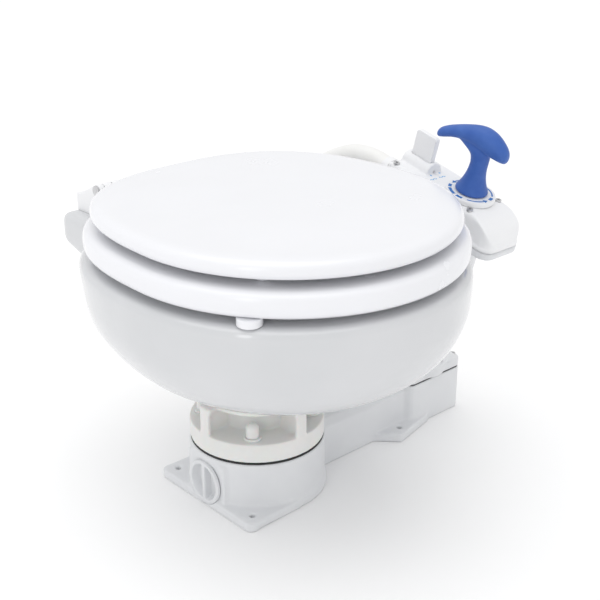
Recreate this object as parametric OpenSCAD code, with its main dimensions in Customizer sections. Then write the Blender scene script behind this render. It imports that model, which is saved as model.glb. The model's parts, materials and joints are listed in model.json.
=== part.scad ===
// Manual marine toilet: china bowl on a moulded base, with a hand pump at its right side.
// Origin: floor level, under the bowl outlet. +Z up, -Y to the front, +X to the pump.

/* [Base] */
// Radius of the round end of the base, under the bowl
base_r = 76; // [75:0.5:78]
// Height of the base under the ring gasket
base_h = 62; // [60:1:64]
// Thickness of the mounting feet
foot_t = 11; // [9:1:13]
// Radius of the floor bolt holes
foot_hole_r = 3.5; // [3:0.5:4]
// Distance of the left pair of floor bolts from the outlet axis
left_hole_x = 64; // [62:1:66]
// Half of the spacing of the left pair of floor bolts
left_hole_y = 66; // [64:1:68]
// Distance of the right pair of floor bolts from the outlet axis
right_hole_x = 193; // [190:1:196]
// Half of the spacing of the right pair of floor bolts
right_hole_y = 39.5; // [38:0.5:41]

/* [Bowl] */
// Half width of the bowl at its widest
bowl_half_w = 190; // [186:1:190]
// Height of the bowl rim
rim_z = 285; // [284:0.5:286]
// Wall thickness of the china
china_t = 10; // [8:0.5:11]
// Half width of the opening inside the rim
mouth_half_w = 128; // [122:1:130]

/* [Seat and lid] */
// Half width of the seat
seat_half_w = 183; // [180:1:184]
// Half width of the hole in the seat
seat_hole_half_w = 112; // [106:1:116]
// Half width of the lid
lid_half_w = 174.7; // [172:0.1:178]
// Front to back place of the widest line of the seat and lid
widest_y = -50.6; // [-52:0.1:-48]
// Height of the hinge pins
hinge_z = 323; // [322.5:0.5:323.5]
// Front to back place of the hinge pins
hinge_y = 163; // [162.5:0.5:164]

/* [Pump] */
// Place of the pump axis along X
pump_x = 256; // [255:0.5:257]
// Forward lean of the pump, in degrees
pump_tilt = 15; // [14.5:0.5:15.5]
// Inner radius of the pump cylinder
cylinder_r = 23.5; // [23:0.1:23.6]
// Radius of the piston rod
rod_r = 6; // [5.5:0.1:6]
// Radius of the hose tail for the intake hose
intake_tail_r = 9.5; // [9:0.1:9.6]
// Radius of the hose tail for the discharge hose
discharge_tail_r = 19; // [18:0.1:19]
// Turn of the T handle about the pump axis, in degrees
handle_yaw = 15; // [0:1:30]

/* [Hose] */
// Outer radius of the flush hose
hose_r = 13; // [12.5:0.1:13]
// Inner radius of the flush hose
hose_bore_r = 10; // [10:0.1:10.3]

/* [Hidden] */

$fn = 64;
eps = 0.01;
run_gap = 0.05;            // radial gap of a running fit
china = "ivory";
white = "whitesmoke";
cream = "floralwhite";
blue = "royalblue";
steel = "silver";
black = "dimgray";

// Base
gasket_t = 2;
ring_z = base_h + gasket_t;
ring_floor = 22;           // height of the solid foot of the bowl ring
ring_h = 54;
ring_top = ring_z + ring_h;
ring_r = 75;
hub_r = 42;                // hub of the bowl ring
hub_bore_r = 36;
well_r = 42;               // well in the base under the bowl
well_floor = 12;
ring_bolt_pcr = 60;        // pitch circle radius of the ring bolts
ring_bolt_r = 3;
duct_z = 27.5;             // axis height of the duct and of the clean-out plug
duct_r = 20;
plug_x = -74;              // face that the plug seats on
plug_r = 25.5;
plug_shank_r = 22.5;
plug_groove_r = 20.5;
block_x0 = 212;            // pump block
block_x1 = 308;
block_y = 38;
block_h = 57;
flap_x = 245;              // suction port under the flap
flap_y = -8;
port_x = 272;              // discharge port
port_z = 30;
port_r = 15;
foot_screw_x = [221, 298];
foot_screw_y = 30;

// Bowl
foot_z = ring_top + 2;     // underside of the china
spud_r = 24.6;
inlet_z = 222;
inlet_end_y = 184;
elbow_y = 200;
deck_z = 292;              // top of the hinge deck
deck_back = 212;
deck_half_w = 106;
hinge_bolt_x = 67;
hinge_bolt_y = 191;

// Seat and lid
seat_z0 = 293;
seat_z1 = 318;
lid_z0 = 326;
lid_back = 142.4;
pin_r = 4;
arm_boss_r = 7.2;
seat_arm_x = hinge_bolt_x + 5.5;
lid_arm_x = hinge_bolt_x - 5.5;
hinge_side = [-1, 1];
arm_screw_y = [118, 134];

// Pump, in a frame whose axis leans to the front
pump_y = -12;
pump_z = 60;
head_w0 = 213;             // top of the cylinder's flange
head_seat = 214.5;
deck_w = 250;              // top of the pump head
head_front = -64;
head_back = 108;
head_half_w = 31;
lip = 1.5;                 // overhang of the cylinder flange around the head
lever_v = 78;
lever_w = 251;
outlet_w = 222.5;
intake_w = 190;            // bend of the intake tail
intake_lean = 30;          // turn of the intake tail away from the pump axis
piston_w = 40;
handle_w = 256.5;
screw_seat_w = 248.2;      // seat of the head screws, let into the shoulders
head_screw_pos = [[-25.2, -22.3], [25.2, -22.3], [-25.2, 94], [25.2, 94]];

// Egg outline: an ellipse in front of the widest line and a squarer curve behind it.
function egg(a, front, back, z, mid = widest_y, square = 2.6, n = 56, clip = 1000) =
    [for (i = [0:n - 1]) let (t = 360 * i / n, c = cos(t), s = sin(t))
        s < 0 ? [a * c, mid + front * s, z]
        : [a * sign(c) * pow(abs(c), 2 / square), min(clip, mid + back * pow(s, 2 / square)), z]];

function flatten(rows) = [for (r = rows) each r];

// Skin over rows of points; each row runs anticlockwise seen from above.
module skin(rows, closed = false) {
    n = len(rows[0]);
    m = len(rows);
    sides = [for (j = [0:m - (closed ? 1 : 2)], i = [0:n - 1])
        let (k = (i + 1) % n, up = (j + 1) % m)
        each [[j * n + i, up * n + i, up * n + k], [j * n + i, up * n + k, j * n + k]]];
    caps = closed ? [] : [[for (i = [0:n - 1]) i], [for (i = [n - 1:-1:0]) (m - 1) * n + i]];
    polyhedron(flatten(rows), concat(sides, caps));
}

// Convex outline around circles given anticlockwise as [x, y, radius].
module round_hull(c) {
    n = len(c);
    for (p = c)
        translate([p[0], p[1]]) circle(p[2]);
    polygon([for (i = [0:n - 1])
        let (p = c[i], q = c[(i + 1) % n], dx = q[0] - p[0], dy = q[1] - p[1],
            turn = atan2(dy, dx) - acos((p[2] - q[2]) / norm([dx, dy])),
            out = [cos(turn), sin(turn)])
        each [[p[0], p[1]] + p[2] * out, [q[0], q[1]] + q[2] * out]]);
}

module round_rect(x0, x1, y0, y1, r) {
    round_hull([[x0 + r, y0 + r, r], [x1 - r, y0 + r, r], [x1 - r, y1 - r, r], [x0 + r, y1 - r, r]]);
}

// Plate between x0 and x1 whose outline is drawn in the YZ plane.
module plate_x(x0, x1) {
    translate([x0, 0, 0]) rotate([90, 0, 90]) linear_extrude(x1 - x0) children();
}

module tube(r, bore, h) {
    difference() {
        cylinder(r = r, h = h);
        translate([0, 0, -1]) cylinder(r = bore, h = h + 2);
    }
}

// Hose tail: a plain land, then barbs, along +Z, with a through bore.
module hose_tail(r, bore, land, barbs, barb_h) {
    difference() {
        union() {
            cylinder(r = r, h = land);
            for (i = [0:barbs - 1])
                translate([0, 0, land + i * barb_h]) cylinder(r1 = r, r2 = r - 1.2, h = barb_h);
        }
        translate([0, 0, -1]) cylinder(r = bore, h = land + barbs * barb_h + 2);
    }
}

module on_pump_axis() {
    translate([pump_x, pump_y, pump_z]) rotate([pump_tilt, 0, 0]) children();
}

module on_diagonals(r) {
    for (a = [45:90:315])
        rotate([0, 0, a]) translate([r, 0, 0]) children();
}

module at_foot_screws(z) {
    for (x = foot_screw_x, y = [-foot_screw_y, foot_screw_y])
        translate([x, y, z]) children();
}

module at_head_screws(w) {
    for (p = head_screw_pos)
        translate([p[0], p[1], w]) children();
}

module at_arm_screws(x, z) {
    for (s = hinge_side, y = arm_screw_y)
        translate([s * x, y, z]) children();
}

module cap_screw(r, head_r, head_h, length) {
    difference() {
        union() {
            translate([0, 0, -length]) cylinder(r = r, h = length + eps);
            cylinder(r = head_r, h = head_h);
        }
        translate([0, 0, head_h * 0.45]) cylinder(r = head_r * 0.5, h = head_h, $fn = 6);
    }
}

// ---- Base ----

module foot_ear() {
    linear_extrude(foot_t)
        round_hull([[183, -50, 5], [243, -36, 5], [243, -20, 5], [163, -20, 5], [162, -29, 4]]);
}

module channel_body() {
    plate_x(40, block_x0 + 10)
        polygon([[-31, 0], [31, 0], [30, 48], [22, block_h], [-22, block_h], [-30, 48]]);
}

module base_housing() {
    color(white) difference() {
        union() {
            cylinder(r = base_r, h = base_h);
            linear_extrude(foot_t)
                round_hull([[0, 0, base_r + 2], [-71, 72, 8], [-71, -72, 8]]);
            translate([plug_x, -31, 0]) cube([50, 62, 56]);
            channel_body();
            linear_extrude(block_h) round_rect(block_x0, block_x1, -block_y, block_y, 10);
            foot_ear();
            mirror([0, 1, 0]) foot_ear();
        }
        translate([0, 0, well_floor]) cylinder(r = well_r, h = base_h);
        translate([-50, 0, duct_z]) rotate([0, 90, 0]) cylinder(r = duct_r, h = 302);
        translate([plug_x - 1, 0, duct_z]) rotate([0, 90, 0])
            cylinder(r = plug_shank_r + run_gap, h = 26);
        translate([plug_x - 10, 0, duct_z]) rotate([0, 90, 0]) cylinder(r = plug_r + 0.4, h = 10);
        translate([flap_x, flap_y, duct_z]) cylinder(r = 12.5, h = block_h);
        translate([port_x, -4, port_z]) cylinder(r = 10, h = block_h);
        translate([port_x, -6, port_z]) rotate([-90, 0, 0]) cylinder(r = port_r, h = block_y + 7);
        for (y = [-1, 1]) {
            translate([-left_hole_x, y * left_hole_y, -1]) cylinder(r = foot_hole_r, h = foot_t + 2);
            translate([right_hole_x, y * right_hole_y, -1]) cylinder(r = foot_hole_r, h = foot_t + 2);
        }
        on_diagonals(ring_bolt_pcr) {
            translate([0, 0, -1]) cylinder(r = ring_bolt_r + 0.3, h = base_h + 2);
            translate([0, 0, -1]) cylinder(r = 8, h = 11);
        }
        at_foot_screws(block_h - 20) cylinder(r = 2.1, h = 21);
        for (x = [-26, 26])
            translate([port_x + x, block_y - 16, port_z]) rotate([-90, 0, 0]) cylinder(r = 1.8, h = 17);
    }
}

module base_plug() {
    color(white) translate([0, 0, duct_z]) rotate([0, 90, 0]) difference() {
        union() {
            translate([0, 0, plug_x - 4.5]) cylinder(r = plug_r, h = 4.5);
            translate([0, 0, plug_x - eps]) cylinder(r = plug_shank_r, h = 18);
        }
        difference() {
            translate([0, 0, plug_x - 5.5]) cylinder(r1 = 21.6, r2 = 17.6, h = 11);
            translate([-30, -2.5, plug_x - 4.5]) cube([60, 5, 12]);
        }
        translate([0, 0, plug_x + 9]) difference() {
            cylinder(r = plug_shank_r + 1, h = 3);
            translate([0, 0, -1]) cylinder(r = plug_groove_r, h = 5);
        }
    }
}

module plug_oring() {
    color(black) translate([plug_x + 9.2, 0, duct_z]) rotate([0, 90, 0])
        tube(plug_shank_r + 0.02, plug_groove_r + 0.04, 2.6);
}

module ring_gasket() {
    color(black) translate([0, 0, base_h]) difference() {
        tube(ring_r - 0.4, well_r, gasket_t);
        on_diagonals(ring_bolt_pcr) translate([0, 0, -1]) cylinder(r = ring_bolt_r + 0.3, h = gasket_t + 2);
    }
}

// ---- Ring and bowl ----

module bowl_support_ring() {
    color(cream) translate([0, 0, ring_z]) difference() {
        union() {
            cylinder(r = ring_r, h = ring_floor);
            cylinder(r = hub_r, h = ring_h);
            translate([0, 0, ring_h - 6]) cylinder(r = ring_r - 2, h = 6);
            for (a = [0:90:270]) rotate([0, 0, a]) {
                translate([hub_r - 2, -2.5, 0]) cube([30, 5, ring_h - 1]);
                intersection() {
                    translate([60, -7, 0]) cube([20, 14, ring_h - 1]);
                    tube(ring_r, ring_r - 5, ring_h - 1);
                }
            }
        }
        translate([0, 0, -1]) cylinder(r = hub_bore_r, h = ring_h - 5);
        cylinder(r = spud_r + 0.6, h = ring_h + 1);
        on_diagonals(ring_bolt_pcr) translate([0, 0, -1]) cylinder(r = ring_bolt_r + 0.3, h = ring_floor + 2);
    }
}

module ring_bolts() {
    color(steel) on_diagonals(ring_bolt_pcr) {
        translate([0, 0, 4]) cylinder(r = 6.5, h = 6, $fn = 6);
        translate([0, 0, 9]) cylinder(r = ring_bolt_r, h = 91);
    }
}

module ring_washers() {
    color(cream) on_diagonals(ring_bolt_pcr)
        translate([0, 0, ring_z + ring_floor]) tube(10, ring_bolt_r + 0.2, 2.8);
}

module dome_nuts() {
    color(cream) on_diagonals(ring_bolt_pcr) translate([0, 0, ring_z + ring_floor + 2.8]) difference() {
        union() {
            cylinder(r = 7.2, h = 9);
            translate([0, 0, 9]) sphere(r = 7.2);
        }
        translate([0, 0, -1]) cylinder(r = ring_bolt_r + run_gap, h = 13);
    }
}

module bowl_gasket() {
    color(cream) translate([0, 0, ring_top]) tube(60, spud_r + 1, 2);
}

module outlet_spud() {
    color(cream) difference() {
        union() {
            translate([0, 0, 94]) cylinder(r = spud_r, h = 42);
            translate([0, 0, 134]) cylinder(r = 33, h = 3.5);
        }
        translate([0, 0, 90]) cylinder(r = 21, h = 50);
    }
}

module spud_nut() {
    color(cream) translate([0, 0, ring_top - 15]) difference() {
        cylinder(r = 33, h = 9);
        translate([0, 0, -1]) cylinder(r = spud_r + run_gap, h = 11);
        for (a = [0:45:315]) rotate([0, 0, a]) translate([34, 0, -1]) cylinder(r = 4, h = 11);
    }
}

// Rows of the china body: height, half width, front, back and squareness, from the foot up.
module bowl_outside() {
    w = bowl_half_w;
    skin([
        egg(62, 62, 62, foot_z, 0, 2),
        egg(61, 61, 61, 127, 0, 2),
        egg(68, 76, 62, 133, -14, 2),
        egg(82, 90, 80, 145, -30, 2),
        egg(w - 85, 110, 106, 156, -37, 2),
        egg(w - 61, 135, 136, 169, -40, 2.05),
        egg(w - 37, 159, 166, 184, -42, 2.1),
        egg(w - 20, 178, 188, 201, -42, 2.15),
        egg(w - 7, 191, 203, 222, -42, 2.2),
        egg(w - 1, 198, 209, 243, -42, 2.2),
        egg(w, 200, 210, 262, -42, 2.25),
        egg(w, 200, 210, rim_z - 8, -42, 2.3),
        egg(w - 2, 198, 208, rim_z - 3, -42, 2.3),
        egg(w - 7, 193, 203, rim_z, -42, 2.3)]);
}

module bowl_inside() {
    w = bowl_half_w - china_t;
    m = mouth_half_w;
    skin([
        egg(36, 36, 36, 134, 0, 2),
        egg(38, 39, 38, 139, -1, 2),
        egg(60, 68, 64, 148, -20, 2),
        egg(w - 80, 103, 102, 160, -34, 2),
        egg(w - 50, 133, 134, 176, -38, 2.1),
        egg(w - 25, 161, 167, 195, -42, 2.15),
        egg(w - 8, 180, 190, 219, -42, 2.2),
        egg(w - 1, 188, 199, 243, -42, 2.2),
        egg(w - 4, 184, 194, 258, -42, 2.25),
        egg(m + 6, 150, 150, 268, -42, 2.2),
        egg(m, 144, 144, 273, -42, 2.2),
        egg(m, 144, 144, rim_z - 4, -42, 2.2),
        egg(m + 4, 148, 148, rim_z + 1, -42, 2.2)]);
}

module hinge_deck() {
    intersection() {
        linear_extrude(400) round_rect(-deck_half_w, deck_half_w, 100, deck_back, 12);
        plate_x(-120, 120)
            polygon([[125, 240], [152, 243], [167, 246], [deck_back, 259], [deck_back, deck_z - 4],
                [deck_back - 4, deck_z], [162, deck_z], [154, rim_z], [125, rim_z - 2]]);
    }
}

module bowl() {
    color(china) difference() {
        union() {
            bowl_outside();
            hinge_deck();
            translate([0, 150, inlet_z]) rotate([-90, 0, 0]) cylinder(r = 15, h = inlet_end_y - 150);
        }
        bowl_inside();
        translate([0, 0, foot_z - 1]) cylinder(r = spud_r + 0.6, h = 20);
        translate([0, 130, inlet_z]) rotate([-90, 0, 0]) cylinder(r = 9, h = 60);
        for (s = hinge_side) translate([s * hinge_bolt_x, hinge_bolt_y, 0]) {
            translate([0, 0, 240]) cylinder(r = 4.5, h = 60);
            translate([0, 0, 240]) cylinder(r = 12.5, h = 19);
        }
    }
}

module inlet_gasket() {
    color(black) translate([0, 165, inlet_z]) rotate([-90, 0, 0]) difference() {
        union() {
            cylinder(r = 8.97, h = inlet_end_y - 165 + eps);
            translate([0, 0, inlet_end_y - 165]) cylinder(r = 14.5, h = 3);
        }
        translate([0, 0, -1]) cylinder(r = 7.55, h = 30);
    }
}

module inlet_elbow() {
    color(white) translate([0, elbow_y, inlet_z]) difference() {
        union() {
            rotate([90, 0, 0]) cylinder(r = 7.5, h = elbow_y - 164);
            rotate([90, 0, 0]) cylinder(r = 11, h = elbow_y - inlet_end_y - 3);
            sphere(r = 11);
            rotate([0, 90, 0]) cylinder(r = 11, h = 13);
            rotate([0, 90, 0]) cylinder(r = intake_tail_r, h = 46);
        }
        rotate([90, 0, 0]) cylinder(r = 5.6, h = 60);
        rotate([0, 90, 0]) cylinder(r = 6.5, h = 60);
    }
}

// ---- Flush hose ----

// Centre line of the flush hose, from the pump head to the bowl inlet
hose_route = [[256, 39.6, 304.2], [256, 53.1, 307.8], [256, 67.6, 311.7], [255, 86, 314.6], [252, 104, 314],
    [247, 121, 309], [240, 136, 301], [231, 150, 290], [218, 162, 277], [202, 173, 264.5],
    [183, 183, 252.5], [162, 190, 241.5], [140, 195, 232.5], [117, 198.5, 226.5], [95, 200, 223],
    [70, 200, 222], [45, 200, 222], [14, 200, 222]];

// Points along a smooth curve through the given points, with k steps between neighbours.
function smooth(p, k) = let (n = len(p) - 1) concat([for (i = [0:n - 1], j = [0:k - 1])
    let (t = j / k, a = p[max(0, i - 1)], b = p[i], c = p[i + 1], d = p[min(n, i + 2)])
    0.5 * (2 * b + t * (c - a) + t * t * (2 * a - 5 * b + 4 * c - d)
        + t * t * t * (3 * b - a - 3 * c + d))], [p[n]]);

function unit(v) = v / norm(v);

// Circles of radius r square to the curve.
function hoops(p, r, n) = let (m = len(p) - 1) [for (i = [0:m])
    let (along = unit(p[min(m, i + 1)] - p[max(0, i - 1)]),
        side = unit(cross([0.7, 0.7, 0], along)), over = cross(along, side))
    [for (j = [0:n - 1]) p[i] + r * (cos(360 * j / n) * side + sin(360 * j / n) * over)]];

function reversed(list) = [for (i = [len(list) - 1:-1:0]) list[i]];

module flush_hose() {
    line = smooth(hose_route, 2);
    color(cream) skin(concat(hoops(line, hose_r, 16), reversed(hoops(line, hose_bore_r, 16))), closed = true);
}

module hose_clip() {
    tube(hose_r + 1.4, hose_r + 0.1, 9);
    translate([-5, hose_r + 0.9, 0.5]) cube([10, 6, 8]);
}

module hose_clips() {
    color(steel) {
        translate([22, elbow_y, inlet_z]) rotate([0, 90, 0]) hose_clip();
        on_pump_axis() translate([0, 118, outlet_w]) rotate([-90, 0, 0]) hose_clip();
    }
}

// ---- Pump foot and valves ----

module pump_ports() {
    translate([flap_x, flap_y, -1]) cylinder(r = 12.5, h = 10);
    translate([port_x, -4, -1]) cylinder(r = 10, h = 10);
}

module pump_base_gasket() {
    color(black) translate([0, 0, block_h]) difference() {
        linear_extrude(1.5) round_rect(block_x0 + 0.6, block_x1 - 0.6, 0.6 - block_y, block_y - 0.6, 10);
        pump_ports();
        at_foot_screws(-1) cylinder(r = 2.6, h = 4);
    }
}

module pump_foot() {
    color(white) difference() {
        union() {
            translate([0, 0, block_h + 1.5]) linear_extrude(10)
                round_rect(block_x0, block_x1, -block_y, block_y, 10);
            hull() {
                translate([0, 0, block_h + 11]) linear_extrude(1)
                    round_rect(block_x0, block_x1, -block_y, block_y, 10, $fn = 32);
                translate([0, 0, block_h + 14]) linear_extrude(2)
                    round_rect(block_x0 + 5, block_x1 - 5, 5 - block_y, block_y - 5, 10, $fn = 32);
                translate([pump_x, pump_y - 6, 84]) cylinder(r = 31, h = 2, $fn = 32);
            }
            on_pump_axis() translate([0, 0, 8]) cylinder(r = 31, h = 20);
        }
        translate([pump_x, flap_y, block_h]) cylinder(r = 27, h = 22);
        on_pump_axis() {
            translate([0, 0, 4]) cylinder(r = cylinder_r, h = 30);
            translate([0, 0, 20]) cylinder(r = 28.1, h = 20);
        }
        at_foot_screws(block_h) cylinder(r = 2.6, h = 30);
        at_foot_screws(block_h + 14.5) cylinder(r = 5.2, h = 30);
    }
}

module pump_foot_screws() {
    color(steel) at_foot_screws(block_h + 14.5) cap_screw(2, 4.2, 3, 30);
}

module bottom_flap() {
    color(black) translate([flap_x, 0, block_h + 1.8]) {
        translate([0, flap_y, 0]) cylinder(r = 14, h = 2.2);
        translate([-7, flap_y + 8, 0]) cube([14, 8, 2.2]);
    }
}

module flap_weight() {
    color(steel) translate([flap_x, flap_y, block_h + 4]) {
        cylinder(r = 8, h = 3.5);
        translate([0, 0, 3.4]) cylinder(r = 3, h = 1.6);
    }
}

module joker_valve() {
    color(black) translate([port_x, block_y, port_z]) rotate([-90, 0, 0]) difference() {
        union() {
            cylinder(r = 20, h = 2.5);
            translate([0, 0, -22]) cylinder(r1 = 5, r2 = port_r - 0.6, h = 22 + eps);
        }
        translate([0, 0, -20]) cylinder(r1 = 2.4, r2 = 12, h = 23);
    }
}

module discharge_tail() {
    color(white) translate([port_x, block_y + 2.5, port_z]) rotate([-90, 0, 0]) {
        difference() {
            linear_extrude(6) round_hull([[-26, 0, 6], [0, -21, 3], [26, 0, 6], [0, 21, 3]]);
            translate([0, 0, -1]) cylinder(r = discharge_tail_r - 3, h = 9);
            for (x = [-26, 26]) translate([x, 0, -1]) cylinder(r = 2.3, h = 9);
        }
        translate([0, 0, 6 - eps]) hose_tail(discharge_tail_r, discharge_tail_r - 3, 24, 3, 7);
    }
}

module discharge_screws() {
    color(steel) for (x = [-26, 26])
        translate([port_x + x, block_y + 8.5, port_z]) rotate([-90, 0, 0]) cap_screw(1.75, 4, 2.6, 20);
}

// ---- Pump body, square to the pump axis ----

module head_outline(inset, r) {
    round_rect(inset - head_half_w, head_half_w - inset, head_front + inset, head_back - inset, r);
}

module pump_cylinder() {
    color(white) on_pump_axis() difference() {
        union() {
            translate([0, 0, 22]) cylinder(r = 28, h = head_w0 - 22);
            translate([0, 0, 205]) linear_extrude(head_w0 - 205)
                round_rect(-head_half_w - lip, head_half_w + lip, head_front - lip, head_back, 16);
            for (v = [40, 64])
                translate([-2, v - 16, 188]) cube([4, 16, 18]);
        }
        translate([0, 0, 20]) cylinder(r = cylinder_r, h = head_w0);
        translate([0, lever_v, 200]) cylinder(r = 7, h = 20);
        at_head_screws(195) cylinder(r = 1.9, h = 20);
    }
}

module intake_tail() {
    color(white) on_pump_axis() translate([0, lever_v, 0]) difference() {
        union() {
            translate([0, 0, 201]) cylinder(r = 13, h = 4);
            translate([0, 0, intake_w]) cylinder(r = 10.5, h = 202 - intake_w);
            translate([0, 0, intake_w]) sphere(r = 10.5);
            translate([0, 0, intake_w]) rotate([180 + intake_lean, 0, 0]) {
                cylinder(r = 10.5, h = 10);
                translate([0, 0, 10 - eps]) hose_tail(intake_tail_r, 6.5, 20, 3, 5);
            }
        }
        translate([0, 0, intake_w]) cylinder(r = 6.5, h = 20);
        translate([0, 0, intake_w]) rotate([180 + intake_lean, 0, 0]) cylinder(r = 6.5, h = 60);
        translate([0, 0, intake_w]) sphere(r = 6.5);
    }
}

module head_gasket() {
    color(black) on_pump_axis() translate([0, 0, head_w0]) linear_extrude(head_seat - head_w0) difference() {
        head_outline(0.8, 14);
        head_outline(4, 11);
        for (p = head_screw_pos) translate([p[0], p[1]]) circle(2.8);
    }
}

// Side profile of the head, in the YZ plane of the pump frame.
module head_side() {
    polygon(concat([[head_front, 200], [head_back, 200]], arc(head_back - 10, deck_w - 12, 10, 0, 50),
        [[head_back - 14, deck_w], [-20, deck_w]],
        [for (a = [94.5:4.5:180]) [-20 + 44 * cos(a), head_seat + (deck_w - head_seat) * sin(a)]]));
}

// Points of an arc of radius r about x, y from angle a0 to a1.
function arc(x, y, r, a0, a1) = [for (i = [0:14]) let (a = a0 + (a1 - a0) * i / 14) [x + r * cos(a), y + r * sin(a)]];

module head_front_view() {
    r = 7;
    x = head_half_w - r;
    z = deck_w - r;
    polygon(concat([[-head_half_w, 190], [head_half_w, 190]], arc(x, z, r, 0, 90), arc(-x, z, r, 90, 180)));
}

module head_solid() {
    intersection() {
        translate([0, 0, head_seat]) linear_extrude(60) head_outline(0, 15);
        plate_x(-40, 40) head_side();
        translate([0, 150, 0]) rotate([90, 0, 0]) linear_extrude(250) head_front_view();
    }
}

module lever_slot() {
    translate([0, 62, 0]) rotate([90, 0, 0]) mirror([0, 0, 1]) linear_extrude(32)
        polygon([[-4.2, 240], [-4.2, 275], [22, 275], [3.5, 248], [3.5, 240]]);
    translate([0, 62, lever_w]) rotate([-90, 0, 0]) cylinder(r = 7.3, h = 32);
    translate([-17, lever_v - 5.2, 235]) cube([20, 10.4, 11.5]);
}

module head_cavity() {
    difference() {
        union() {
            translate([-27, -46, head_seat - 1]) cube([54, 64, 22]);
            translate([-27, 24, head_seat - 1]) cube([54, 80, 30]);
        }
        for (p = head_screw_pos) translate([p[0], p[1], 200]) cylinder(r = 5.5, h = 60);
        translate([0, 0, 200]) cylinder(r = 23.4, h = 60);
    }
}

module pump_head() {
    color(white) on_pump_axis() difference() {
        union() {
            head_solid();
            translate([0, 0, head_seat]) linear_extrude(4) head_outline(-1.6, 16.6);
            translate([0, 57, lever_w - 2]) rotate([-90, 0, 0]) cylinder(r = 13, h = 42);
        }
        head_cavity();
        translate([0, 0, head_seat - 1]) cylinder(r = 20.05, h = 60);
        lever_slot();
        translate([0, 50, lever_w]) rotate([-90, 0, 0]) cylinder(r = 2.02, h = 60);
        translate([0, 90, outlet_w]) rotate([-90, 0, 0]) cylinder(r = 7, h = 30);
        at_head_screws(200) cylinder(r = 2.3, h = 60);
        at_head_screws(screw_seat_w) cylinder(r = 4.2, h = 10);
        translate([0, head_back, outlet_w]) rotate([-90, 0, 0]) cylinder(r = 12.6, h = 5);
    }
}

module head_screws() {
    color(steel) on_pump_axis() at_head_screws(screw_seat_w) cap_screw(1.85, 3.7, 2.6, 46);
}

module head_outlet_tail() {
    color(white) on_pump_axis() translate([0, head_back, outlet_w]) rotate([-90, 0, 0]) difference() {
        union() {
            translate([0, 0, 0]) cylinder(r = 12.5, h = 3.5);
            translate([0, 0, -3]) cylinder(r = 6.9, h = 4);
            translate([0, 0, 3.4]) hose_tail(intake_tail_r, 5.5, 14, 3, 5);
        }
        translate([0, 0, -5]) cylinder(r = 5.5, h = 20);
    }
}

module seal_housing() {
    color(white) on_pump_axis() difference() {
        union() {
            translate([0, 0, deck_w]) cylinder(r1 = 29.6, r2 = 28.8, h = 6);
            translate([0, 0, 226]) cylinder(r = 20, h = 24 + eps);
        }
        translate([0, 0, 220]) cylinder(r = 9.02, h = 50);
        translate([0, 0, 244]) cylinder(r = 12.02, h = 20);
    }
}

module rod_bush() {
    color("tan") on_pump_axis() translate([0, 0, 227]) tube(9, rod_r + run_gap, 17);
}

module rod_seal() {
    color(black) on_pump_axis() translate([0, 0, 244]) tube(12, rod_r + 0.03, 6);
}

module rod_wiper() {
    color(black) on_pump_axis() translate([0, 0, 250]) tube(12, rod_r + run_gap, 5.6);
}

module piston_rod() {
    color(steel) on_pump_axis() {
        translate([0, 0, piston_w - 9]) cylinder(r = rod_r, h = 314 - piston_w);
        translate([0, 0, piston_w + 12.3]) cylinder(r = 10, h = 3);
    }
}

module piston() {
    color(white) on_pump_axis() translate([0, 0, piston_w]) difference() {
        cylinder(r = cylinder_r - 0.4, h = 12);
        translate([0, 0, -1]) cylinder(r = rod_r + run_gap, h = 14);
        translate([0, 0, 4]) difference() {
            cylinder(r = cylinder_r, h = 4);
            translate([0, 0, -1]) cylinder(r = cylinder_r - 3, h = 6);
        }
    }
}

module piston_oring() {
    color(black) on_pump_axis() translate([0, 0, piston_w + 4.1]) tube(cylinder_r - run_gap, cylinder_r - 2.95, 3.8);
}

module piston_nut() {
    color(steel) on_pump_axis() translate([0, 0, piston_w - 6.3]) difference() {
        cylinder(r = 10, h = 6, $fn = 6);
        translate([0, 0, -1]) cylinder(r = rod_r + 0.02, h = 8);
    }
}

// Stations of the T bar: place along it, height of its centre, half height and half width.
bar = [[-31, 309, 2.5, 2.5], [-29, 310, 7, 6.5], [-23, 313, 10.5, 10], [-12, 317.5, 13.5, 12.5],
    [0, 320.5, 14, 13], [12, 321.5, 12, 12], [26, 320, 9, 10.5], [38, 316.5, 7.5, 9.5],
    [48, 312, 7, 8.5], [55, 308.5, 5.5, 6.5], [57.5, 307.5, 1.8, 2.5]];

// Stations of the stem: height, shift along the bar, half length and half width.
stem = concat([[handle_w, 0, 18.2, 18.2], [handle_w + 0.8, 0, 19, 19]],
    [for (t = [0:0.1:1]) let (r = 10.3 + 8.7 * pow(1 - t, 2.2)) [handle_w + 3 + 32 * t, 0, r, r]],
    [[300, 1.2, 11.6, 10.5], [305, 4, 14.5, 10.7], [309, 7.5, 18.5, 10.4], [313, 11, 23, 9]]);

module handle() {
    color(blue) on_pump_axis() rotate([0, 0, handle_yaw]) difference() {
        union() {
            skin([for (s = bar) [for (i = [0:19])
                [s[3] * cos(18 * i), s[0], s[1] + s[2] * sin(-18 * i)]]]);
            skin([for (s = stem) [for (i = [0:31])
                [s[3] * cos(11.25 * i), s[1] + s[2] * sin(11.25 * i), s[0]]]]);
        }
        translate([0, 0, handle_w - 1]) cylinder(r = rod_r + 0.02, h = 306.5 - handle_w);
    }
}

// ---- Flush lever and inlet valve ----

module flush_lever() {
    color(white) on_pump_axis() translate([0, lever_v, lever_w]) difference() {
        union() {
            translate([0, -15.5, 0]) rotate([-90, 0, 0]) cylinder(r = 7, h = 31);
            plate_x(-3.6, 3.6)
                round_hull([[-10, 2, 5.5], [10, 2, 5.5], [11.5, 36, 4], [-11.5, 36, 4]]);
        }
        translate([0, -20, 0]) rotate([-90, 0, 0]) cylinder(r = 2 + run_gap, h = 40);
        translate([-1.5, -4, -8]) cube([3, 8, 5]);
    }
}

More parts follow.
